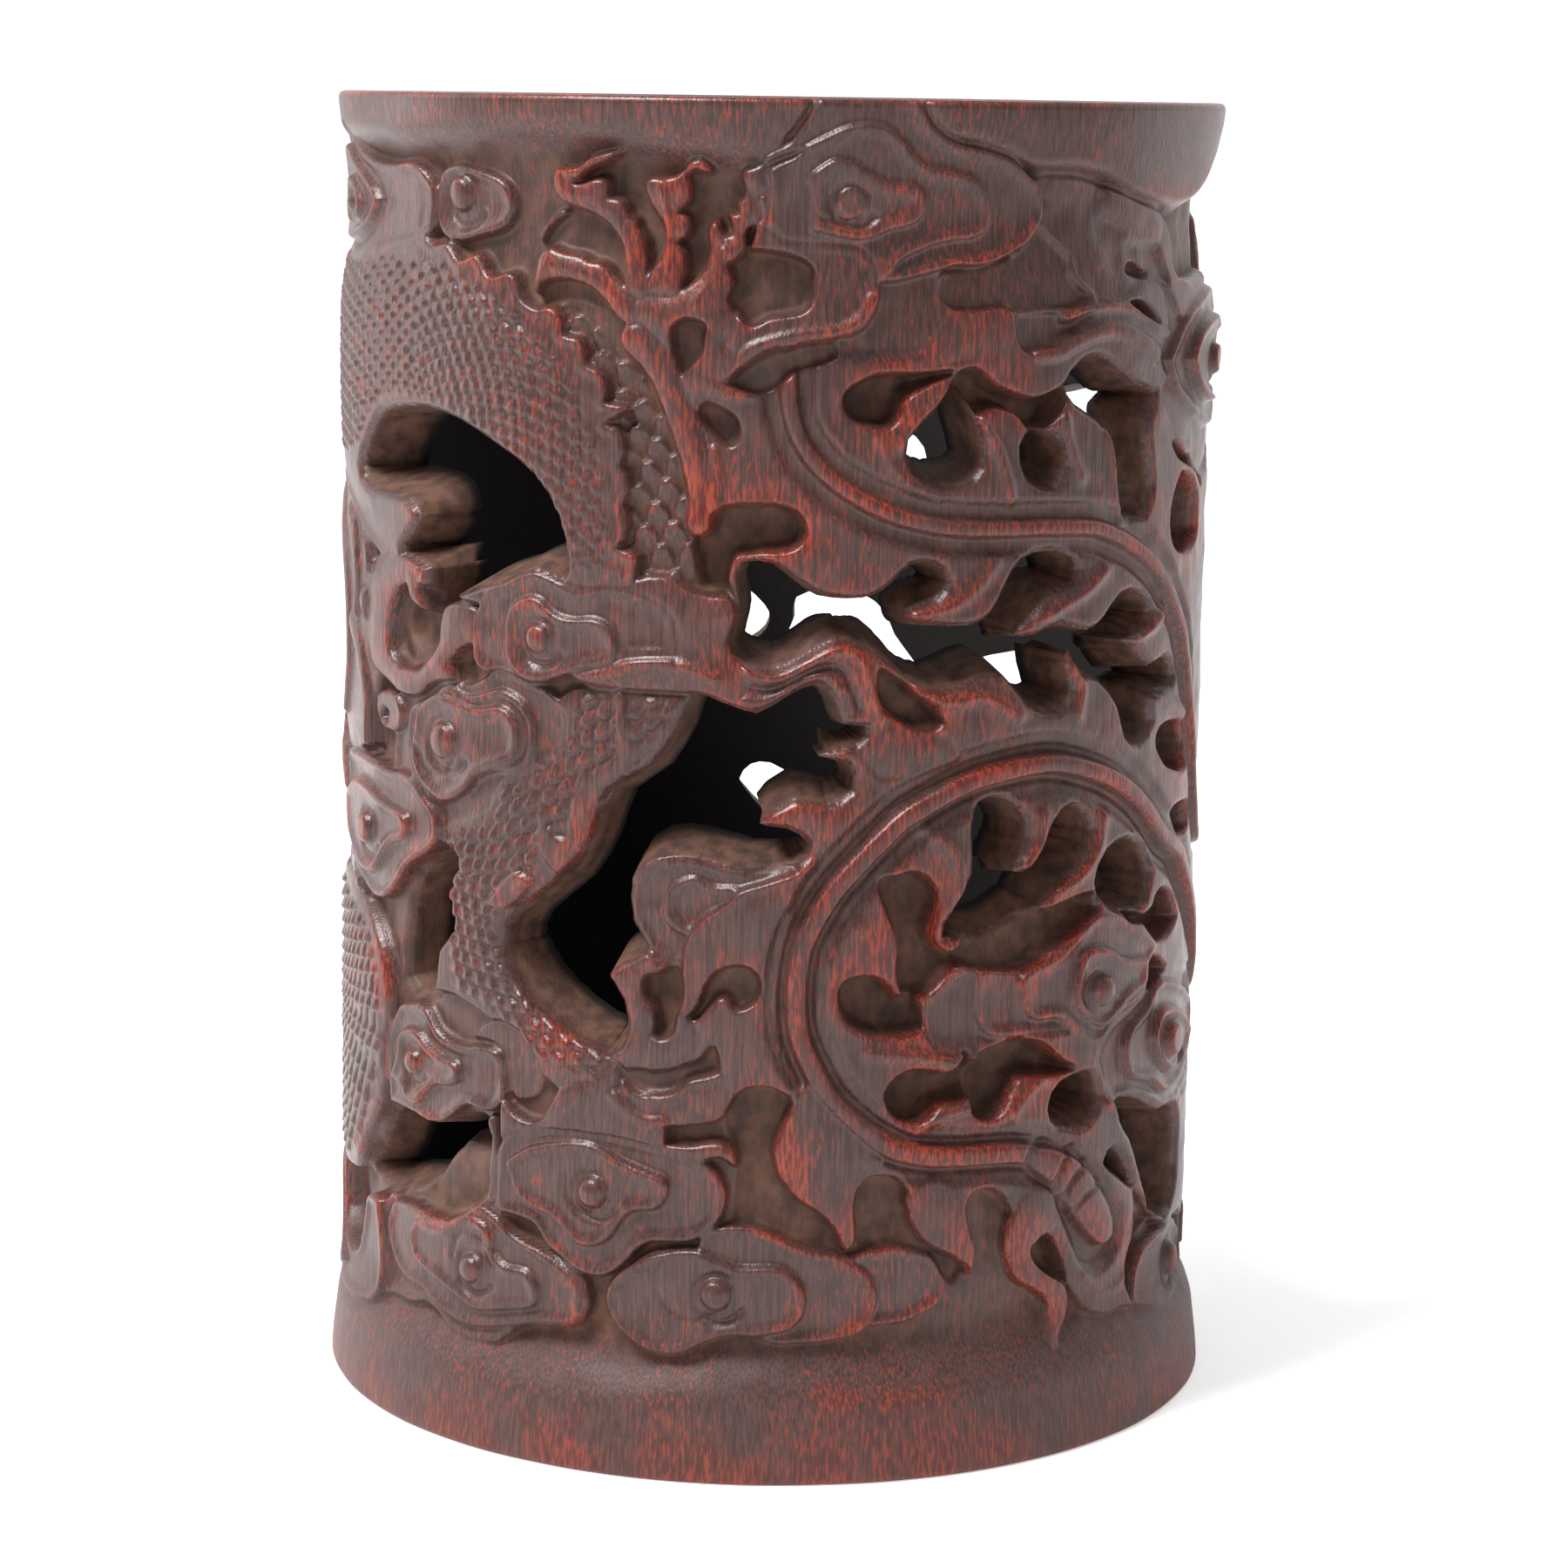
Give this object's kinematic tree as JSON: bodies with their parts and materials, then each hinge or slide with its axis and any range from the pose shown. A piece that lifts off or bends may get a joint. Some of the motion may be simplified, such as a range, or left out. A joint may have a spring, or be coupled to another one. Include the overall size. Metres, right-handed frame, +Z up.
{
  "type": "brush pot",
  "caption": "Cylindrical openwork-carved bamboo brush pot with a plain flared rim, a plain foot band and an inset floor, for standing brushes and pens in.",
  "frame": {"origin": "centre of the foot, on the surface the pot stands on", "axes": "+Z up along the pot's axis, -Y towards the front of the carving, +X to the right seen from the front"},
  "size_m": [0.1052, 0.1052, 0.15],
  "materials": {
    "dark_bamboo": "carved, dark red-brown varnish, satin on the raised faces and dull in the hollows",
    "floor_wood": "turned, dark and dull"
  },
  "bodies": {
    "root": {"carved_tube": "dark_bamboo", "base_disc": "floor_wood"}
  },
  "joints": []
}
